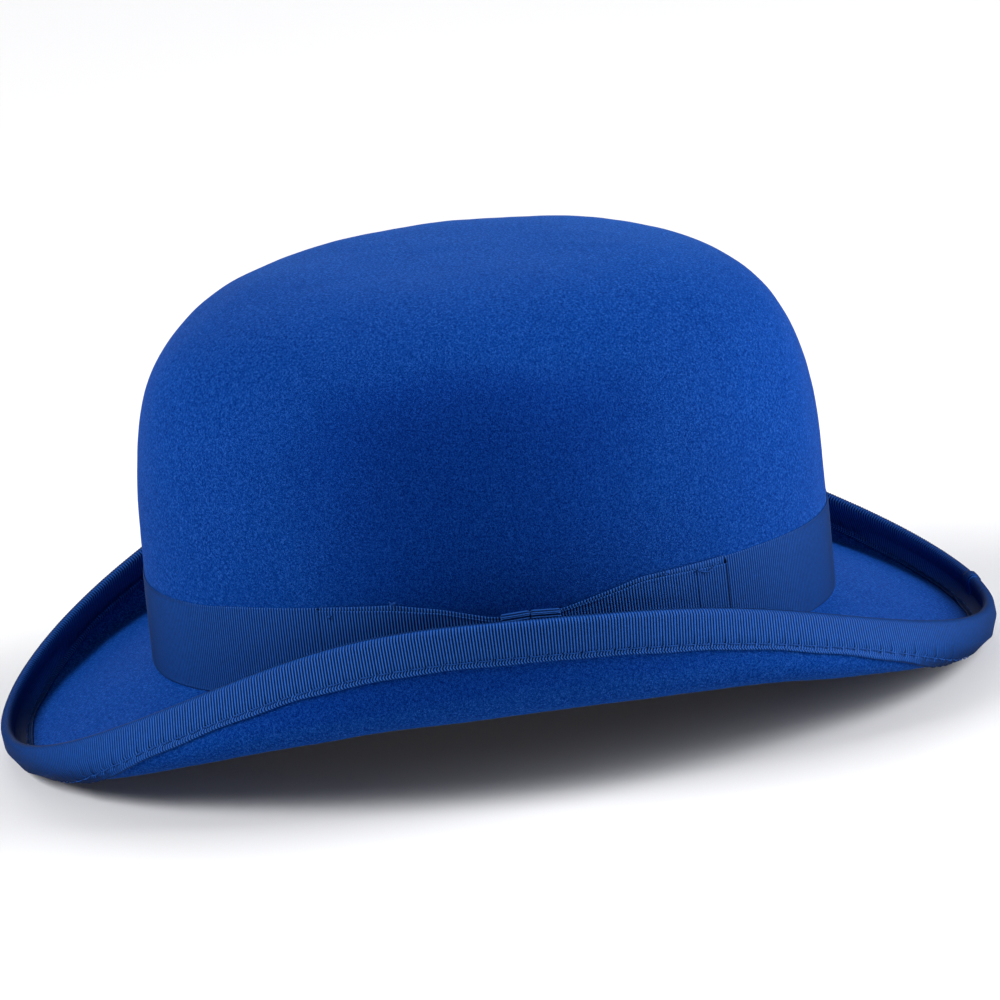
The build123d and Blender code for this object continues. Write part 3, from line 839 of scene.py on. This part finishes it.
def on_loop(at, t, radius):
    """Angle and distance out on a loop's path, and the shares of its way that run along and out."""
    found, ahead, behind = at(t), at(t + 0.25), at(t - 0.25)
    along = (ahead[..., 0] - behind[..., 0]) * radius
    rise = ahead[..., 1] - behind[..., 1]
    size = np.maximum(np.hypot(along, rise), 1e-9)
    return found[..., 0], found[..., 1], along / size, rise / size


def bow_loops():
    """One ribbon folded into two flat loops, drawn in and a little gathered at the knot."""
    layers = (BOW_INNER_LAYER, BOW_OUTER_LAYER)
    path = loop_path(BOW_FRONT, BOW_REAR, *layers, CROWN_HALF_LENGTH, (30, 13, 60))
    at = through(path)
    hold = KNOT_WIDTH / 2 / CROWN_HALF_LENGTH
    width = BAND_WIDTH
    curve = lambda t: on_wall(at(t)[:, 0], width / 2, -at(t)[:, 1])
    steps, run = even_steps(curve, 0, len(path) - 1, RIB, RIB_COLUMNS)

    def place(u, v, out):
        theta, off, along, rise = on_loop(at, np.interp(u, run, steps), CROWN_HALF_LENGTH)
        outer = smooth((off - BOW_INNER_LAYER) / (BOW_OUTER_LAYER - BOW_INNER_LAYER))
        top = (1 - outer) * eased(theta, *BOW_BACK_TOP) + outer * eased(theta, *BOW_FRONT_TOP)
        foot = GAP + eased(theta, *BOW_FOOT)
        height = foot + (top - foot) * v / width
        near = 1 - smooth((np.abs(theta - radians(1)) - hold) / radians(13))
        puff = BOW_PUFF * outer * np.sin(pi * np.clip(np.abs(theta) / radians(35), 0, 1)) ** 1.5
        gather = BOW_GATHER * near * np.cos(TURN * 2.6 * v / width + 0.6) * (0.3 + 0.7 * outer)
        ridge = 0.3 * outer * np.exp(-(((theta - BOW_RIDGE) / radians(0.35)) ** 2))
        shifted = theta - out * rise / CROWN_HALF_LENGTH
        return on_wall(shifted, height, -(off + puff + gather + ridge + out * along))

    points, uv = ribbed(place, run, width, BOW_RIBBON)
    # painted shade: the turn of each fold takes the dark colour of a groove, for the shadow along the fold
    angle = at(steps)[:, 0]
    shaded_fold = (angle < BOW_FRONT + BOW_FOLD_SHADE) | (angle > BOW_REAR - BOW_FOLD_SHADE)
    uv[0][shaded_fold] = np.floor(uv[0][shaded_fold]) + 0.5  # as dark as the groove between two ribs
    mesh = grid_mesh("bow_loops", points, False, True, uv, caps=True)
    piece = link("bow_loops", mesh, "grosgrain")


def round_line(line, pitch, columns, reach):
    """Even distances along a closed line, and the line's points and directions there."""
    curve = through(line)
    steps, run = even_steps(curve, 0, len(line) - 1, pitch, columns)
    t = steps[:-1]
    return run, curve(t), unit(curve(t + reach) - curve(t - reach))


def knot_line():
    """The wrap's line in a plane through the hat's side: distance out, and height."""
    angle = np.radians(np.linspace(0, 90, 7))
    back = KNOT_BACK + 2 * KNOT_CORNER
    corners = ((KNOT_FRONT, KNOT_HIGH), (back, KNOT_HIGH), (back, KNOT_LOW), (KNOT_FRONT, KNOT_LOW))
    line = []
    for i, (out, height) in enumerate(corners):
        turn = angle + pi / 2 * i
        height += KNOT_CORNER * (1 if height == KNOT_LOW else -1)
        out = out + KNOT_CORNER * (np.cos(turn) - 1)
        line.append(np.stack([out, height + KNOT_CORNER * np.sin(turn)], 1))
    return np.concatenate(line + [line[0][:1]])


def bow_knot():
    """Short ribbon wrapped round the middle of the bow, its ribs level, with a crease down its middle."""
    run, centre, way = round_line(knot_line(), RIB, 6, 0.3)
    half = KNOT_WIDTH / 2
    rows = [(-half, 0), (0.06 - half, 0.6), (0.35 - half, 1.15), (1 - half, 1)]
    rows += [(-4.5, 1.1), (-1.2, 1.15), (-0.45, 0.9), (-0.15, -0.2)]
    rows += [(-y, share) for y, share in rows[::-1]]
    rows += [(half - 0.4, -0.8), (4, -0.8), (0, -0.8), (-4, -0.8), (0.4 - half, -0.8)]
    y, share = np.array(rows).T
    ribs = np.cos(TURN * run[:-1, None] / RIB) * np.clip(share, 0, 1)
    out = share * BOW_RIBBON / 2 + ribs * RIB_DEPTH / 2
    # the half towards the rear sits a little lower at its end, and the front half stands a step behind it
    tilt = np.where(y > 0, -0.09, 0.03) * y
    step = np.where(y > 0, 0.12, -0.1)
    off = centre[:, :1] + way[:, 1:] * out + step
    height = centre[:, 1:] - way[:, :1] * out + tilt
    points = on_wall(np.arcsin((y + KNOT_OFFSET) / CROWN_HALF_LENGTH), height, -off)
    mesh = grid_mesh("bow_knot", points, True, True, uv_grid(run / RIB, looped(y)))
    piece = link("bow_knot", mesh, "grosgrain")


def bow_tacks():
    """Hand stitches that hold the loops, with their knots and a loose end."""
    rng = np.random.default_rng(31)
    share = np.linspace(0, 1, 9)
    face = BOW_OUTER_LAYER + BOW_RIBBON / 2
    tacks = ((-32.0, 27.2, face), (-21.0, 30.9, 1.6), (24.1, 28.0, face), (30.3, 26.2, face + 0.5))
    paths = []
    for place, height, off in tacks:
        for _ in range(4):
            t = radians(place + rng.uniform(-0.3, 0.3)) + (share - 0.5) * radians(rng.uniform(0.4, 1.1))
            h = height + (share - 0.5) * rng.uniform(-1.4, 1.4) + rng.uniform(-0.3, 0.3)
            paths.append(on_wall(t, h, -off - 0.45 * np.sin(pi * share)))
    t = radians(30.3) + share * radians(4.2)
    h = 26.1 - 1.2 * np.sin(pi * share * 1.25) + 0.2 * share
    paths.append(on_wall(t, h, -face - 0.35 - 0.3 * np.sin(pi * share)))
    mesh = tube_mesh("bow_tacks", np.array(paths), 0.2)
    link("bow_tacks", mesh, "thread")


# Inside


def strip_points(theta, low, high, inset, thick, rows):
    """Points of a plain strip inside the crown with rounded edges, and the heights in its section."""
    r = thick / 2
    flat = high - low - thick
    turn = np.radians(np.linspace(-90, 90, 5))
    foot = [(low + r - r * np.cos(a), r * np.sin(a)) for a in turn]
    front = [(low + r + flat * k, r) for k in np.linspace(0, 1, rows)[1:-1]]
    top = [(high - r + r * np.cos(a), r * np.sin(a)) for a in turn[::-1]]
    rear = [(low + r + flat * k, -r) for k in (0.75, 0.5, 0.25)]
    height, across = np.array(foot + front + top + rear).T
    return on_wall(theta[:, None], height, inset + r + across), height


def sweatband():
    """Leather band, with its ends together at the rear."""
    joint = radians(0.25)  # half the gap between its ends
    line = lambda t: on_wall(t, 10.0, LEATHER_INSET)
    steps, run = even_steps(line, REAR + joint, REAR + TURN - joint, 1.6, 1)
    points, height = strip_points(steps, LEATHER_BOTTOM, LEATHER_TOP, LEATHER_INSET, LEATHER, 22)
    ripple = 0.12 * waves(steps[:, None], height, 17, 10, 6, 30, 0.04) * (height / LEATHER_TOP) ** 1.5
    points = points - unit(points * np.array([1, 1, 0])) * np.abs(ripple)[..., None]
    mesh = grid_mesh("sweatband", points, False, True, uv_grid(run, looped(height)), caps=True)
    piece = link("sweatband", mesh, "leather")


def hoop_points(theta, section):
    """A ring of the given section of inset and height."""
    inset, height = np.array(section).T
    return beside(theta[:, None], -inset[None], height[None])


def reed_and_welt():
    """Rod in the leather's lower edge, and the tape folded round it."""
    columns = 360
    theta = circle(columns)
    reed = [(REED_INSET - REED_RADIUS * cos(a), REED_RISE + REED_RADIUS * sin(a)) for a in circle(12)]
    mesh = grid_mesh("sweatband_reed", hoop_points(theta, reed))
    link("sweatband_reed", mesh, "reed")
    inner, outer = TAPE_RADIUS, TAPE_RADIUS + TAPE
    fold = np.radians(np.linspace(0, -180, 11))
    section = [(REED_INSET - outer, TAPE_TOP), (REED_INSET - outer, TAPE_TOP / 2)]
    section += [(REED_INSET - outer * cos(a), REED_RISE + outer * sin(a)) for a in fold]
    section += [(REED_INSET + outer, TAPE_LIP - 1.2), (REED_INSET + outer, TAPE_LIP - 0.2)]
    section += [(REED_INSET + outer - TAPE / 2, TAPE_LIP), (REED_INSET + inner, TAPE_LIP - 0.2)]
    section += [(REED_INSET - inner * cos(a), REED_RISE + inner * sin(a)) for a in fold[::-1]]
    section += [(REED_INSET - inner, TAPE_TOP / 2), (REED_INSET - inner, TAPE_TOP)]
    length = pi * (CROWN_HALF_LENGTH + CROWN_HALF_WIDTH - 2 * REED_INSET)
    uv = uv_grid(length * np.arange(columns + 1) / columns, distances(section + section[:1]))
    mesh = grid_mesh("sweatband_welt", hoop_points(theta, section), True, True, uv)
    piece = link("sweatband_welt", mesh, "tape")


def sweatband_threads():
    """The seam along the tape, and the zigzag across the leather's joint."""
    share = np.linspace(0, 1, 7)
    theta = TURN * (np.arange(WELT_STITCHES)[:, None] + 0.6 * share) / WELT_STITCHES
    inset = REED_INSET + TAPE_RADIUS + TAPE + 0.12 * np.sin(pi * share)
    mesh = tube_mesh("sweatband_stitches", beside(theta, -inset, 2.2), 0.2)
    link("sweatband_stitches", mesh, "pale_thread")
    inset = LEATHER_INSET + LEATHER + 0.1 + 0.08 * np.sin(pi * share)
    rises = np.linspace(15.5, 38.0, 15)
    paths = []
    for i, (low, high) in enumerate(zip(rises[:-1], rises[1:])):
        side = radians(1.0) * (1 if i % 2 else -1)
        paths.append(on_wall(REAR + side * (1 - 2 * share), low + (high - low) * share, inset))
    mesh = tube_mesh("sweatband_seam_stitches", np.array(paths), 0.17)
    link("sweatband_seam_stitches", mesh, "pale_thread")


def sweatband_bow():
    """Narrow ribbon bow at the rear of the leather."""
    face = LEATHER_INSET + LEATHER
    inner, outer = 0.8, 1.6
    path = loop_path(-TRIM_HALF, TRIM_HALF, inner, outer, CROWN_HALF_WIDTH, (16, 9, 30))
    at = through(path)
    curve = lambda t: on_wall(REAR + at(t)[:, 0], TRIM_RISE + TRIM_WIDTH / 2, face + at(t)[:, 1])
    steps, run = even_steps(curve, 0, len(path) - 1, TRIM_RIB, 4)

    def place(u, v, out):
        theta, off, along, rise = on_loop(at, np.interp(u, run, steps), CROWN_HALF_WIDTH)
        near = np.exp(-((theta / radians(3)) ** 2))
        height = TRIM_RISE + near * 1.6 + (TRIM_WIDTH - near * 3.2) * v / TRIM_WIDTH
        belly = 0.5 * np.sin(pi * np.clip(np.abs(theta) / TRIM_HALF, 0, 1)) * (off > (inner + outer) / 2)
        shifted = REAR + theta - out * rise / CROWN_HALF_WIDTH
        return on_wall(shifted, height, face + off + belly + out * along)

    points, uv = ribbed(place, run, TRIM_WIDTH, TRIM_RIBBON, depth=0.08)
    mesh = grid_mesh("sweatband_bow", points, False, True, uv, caps=True)
    link("sweatband_bow", mesh, "trim_ribbon")


def sweatband_bow_knot():
    """Ribbon wrapped round the middle of the small bow."""
    line = [(0.55, 5.6), (0.35, 6.4), (0.35, 11.6), (0.55, 12.4), (2.0, 12.5), (2.35, 11.9), (2.45, 9.0)]
    line += [(2.35, 6.1), (2.0, 5.5), (0.55, 5.6)]
    run, centre, way = round_line(line, TRIM_RIB, 4, 0.2)
    y = np.array([-2.2, -2.1, -1.4, 0, 1.4, 2.1, 2.2, 1.6, 0, -1.6])
    share = np.array([0, 0.6, 1, 1.3, 1, 0.6, 0, -0.8, -0.8, -0.8])
    ribs = np.cos(TURN * run[:-1, None] / TRIM_RIB) * np.clip(share, 0, 1)
    out = share * TRIM_RIBBON / 2 + ribs * 0.04
    off = centre[:, :1] - way[:, 1:] * out
    height = centre[:, 1:] + way[:, :1] * out
    points = on_wall(REAR + y / CROWN_HALF_WIDTH, height, LEATHER_INSET + LEATHER + off)
    mesh = grid_mesh("sweatband_bow_knot", points, True, True, uv_grid(run / RIB, looped(y)))
    link("sweatband_bow_knot", mesh, "trim_ribbon")


def size_ticket():
    """Blank woven ticket."""
    theta = np.linspace(radians(52), radians(64), 41)
    points, height = strip_points(theta, 12.0, 27.0, LEATHER_INSET + LEATHER + 0.06, 0.3, 14)
    uv = uv_grid(np.linspace(0, 20, 41), looped(height))
    mesh = grid_mesh("size_ticket", points, False, True, uv, caps=True)
    piece = link("size_ticket", mesh, "ticket")


def lining_folds(theta, curve, roam, seed, count):
    """Folds round the lining, 0 to 1, that wander a little to each side."""
    return 0.5 + 0.5 * np.cos(LINING_FOLDS * theta + roam * waves(theta, curve, seed, count, 2, 9, 0.02))


def lining_skins(theta, curve, inset):
    """Points up the lining's near side and back down its far side."""
    near = on_crown(theta, curve, inset - LINING)
    far = on_crown(theta, curve[:, ::-1], inset[:, ::-1])
    return np.concatenate([near, far], 1)


def lining_side():
    """The lining's satin wall, with soft upright folds."""
    theta = circle(LINING_COLUMNS)[:, None]
    start = degrees(asin((LINING_BOTTOM / (CROWN_HEIGHT - LINING_INSET)) ** (WALL_POWER / 2)))
    curve = np.linspace(start, TIP_START, 36)[None]
    share = (curve - start) / (TIP_START - start)
    fold = lining_folds(theta, curve, 1.4, 41, 7) * smooth((share - 0.05) / 0.5)
    fold = fold * (0.7 + 0.3 * waves(theta, 0 * curve, 43, 7, 3, 12))
    crumple = 0.25 * np.abs(waves(theta, curve, 47, 8, 5, 24, 0.08))
    tuck = 1.2 * smooth((share - 0.93) / 0.07)
    inset = LINING_INSET + LINING + 0.3 + LINING_FOLD * np.abs(fold) * share + crumple + tuck
    points = lining_skins(theta, curve, inset)
    along = LINING_SIZE[0] * np.arange(LINING_COLUMNS + 1) / LINING_COLUMNS
    rise = LINING_SIZE[1] * looped(np.concatenate([share[0], share[0][::-1]]))
    mesh = grid_mesh("lining_side", points, True, True, uv_grid(along, rise))
    piece = link("lining_side", mesh, "satin")


def lining_tip():
    """The lining's oval top, puckered at its seam."""
    theta = circle(LINING_COLUMNS)[:, None]
    curve = np.concatenate([np.linspace(TIP_START + 0.5, 86, 40), [88, 89.3, 90]])[None]
    share = (curve - TIP_START) / (90 - TIP_START)
    pucker = 0.9 * np.exp(-share * 9) * lining_folds(theta, curve, 0.8, 53, 6)
    seam = 0.9 * np.exp(-share * 30)
    sag = 1.5 + 2.2 * smooth(share * 1.6)
    sag = sag + 2.0 * waves(theta, curve, 59, 9, 1, 6, 0.03) * share * (1 - share)
    inset = LINING_INSET + LINING + sag + pucker + seam
    points = lining_skins(theta, curve, inset)
    for pole in (curve.size - 1, curve.size):
        points[:, pole] = points[:, pole].mean(0)
    piece = link("lining_tip", tip_mesh(points), "satin")


def tip_mesh(points):
    """A double-skinned oval with a pole in the middle of each skin, and its plan as texture coordinates."""
    faces, along, across = grid_faces(*points.shape[:2], True, True)
    keep = across[:, 0] != points.shape[1] // 2 - 1  # nothing joins the two poles
    mesh = smooth_mesh("lining_tip", points, faces[keep].tolist())
    plan = np.pad(points[..., :2], ((0, 1), (0, 1), (0, 0)), "wrap")
    layer = mesh.uv_layers.new(name="UVMap")
    layer.data.foreach_set("uv", plan[along[keep], across[keep]].astype(np.float32).ravel())
    return weld(mesh)


# Stage, light and camera


def floor_material():
    """Plain and pale, and clear from below, so that the hat's underside can be seen."""
    n = Nodes("floor")
    colour = n.ramp(n.noise(3, 2, 0.5), (0.3, scaled(FLOOR_COLOUR, 0.985)), (0.7, FLOOR_COLOUR))
    n.link(colour, n.shader.inputs["Base Color"])
    n.shader.inputs["Roughness"].default_value = 0.9
    from_below = n.add("ShaderNodeNewGeometry").outputs["Backfacing"]
    clear = n.add("ShaderNodeBsdfTransparent").outputs[0]
    either = n.add("ShaderNodeMixShader", i0=from_below, i1=n.shader.outputs[0], i2=clear)
    n.link(either.outputs[0], n.tree.nodes["Material Output"].inputs["Surface"])
    return n.material


def floor():
    """A level square that the hat stands on."""
    mesh = bpy.data.meshes.new("floor")
    corners = [(x * FLOOR_HALF, y * FLOOR_HALF, 0) for x, y in ((-1, -1), (1, -1), (1, 1), (-1, 1))]
    mesh.from_pydata(corners, [], [(0, 1, 2, 3)])
    mesh.materials.append(floor_material())
    piece = bpy.data.objects.new("floor", mesh)
    piece.location.z = -FLOOR_DROP
    bpy.context.scene.collection.objects.link(piece)


def lights():
    """Soft panels round the hat, and an even white world."""
    world = bpy.data.worlds.new("studio")
    world.use_nodes = True
    background = world.node_tree.nodes["Background"]
    background.inputs["Color"].default_value = (1, 1, 1, 1)
    background.inputs["Strength"].default_value = WORLD_STRENGTH
    bpy.context.scene.world = world
    for name, (place, width, height, power) in LIGHTS.items():
        light = bpy.data.lights.new(name, "AREA")
        light.shape = "RECTANGLE"
        light.size = width
        light.size_y = height
        light.energy = power
        piece = bpy.data.objects.new(name, light)
        piece.location = place
        piece.rotation_euler = (Vector(LIT_POINT) - Vector(place)).to_track_quat("-Z", "Y").to_euler()
        bpy.context.scene.collection.objects.link(piece)


def camera():
    """Long lens from the hat's left side, a little above the brim, and rolled."""
    level = Vector((sin(CAMERA_AZIMUTH), -cos(CAMERA_AZIMUTH), 0))
    back = level * cos(CAMERA_ELEVATION) + Vector((0, 0, sin(CAMERA_ELEVATION)))
    right = Vector((cos(CAMERA_AZIMUTH), sin(CAMERA_AZIMUTH), 0))
    up = right.cross(-back)
    middle = Vector((0, -MIDDLE * MM, AIM_HEIGHT - LOWEST * MM))
    aim = middle + right * AIM_RIGHT - up * AIM_DOWN
    data = bpy.data.cameras.new("camera")
    data.sensor_width = SENSOR
    data.lens = SENSOR * PICTURE_WIDTHS * CAMERA_DISTANCE
    data.clip_start = 0.1
    data.clip_end = 50
    piece = bpy.data.objects.new("camera", data)
    turn = Matrix((right, up, back)).transposed() @ Matrix.Rotation(-CAMERA_ROLL, 3, "Z")
    piece.matrix_world = Matrix.Translation(aim + back * CAMERA_DISTANCE) @ turn.to_4x4()
    bpy.context.scene.collection.objects.link(piece)
    bpy.context.scene.camera = piece


felt_body()
hat_band()
brim_binding()
bow_loops()
bow_knot()
bow_tacks()
sweatband()
reed_and_welt()
sweatband_threads()
sweatband_bow()
sweatband_bow_knot()
size_ticket()
lining_side()
lining_tip()
floor()
lights()
camera()
bpy.context.scene.view_settings.view_transform = "Standard"
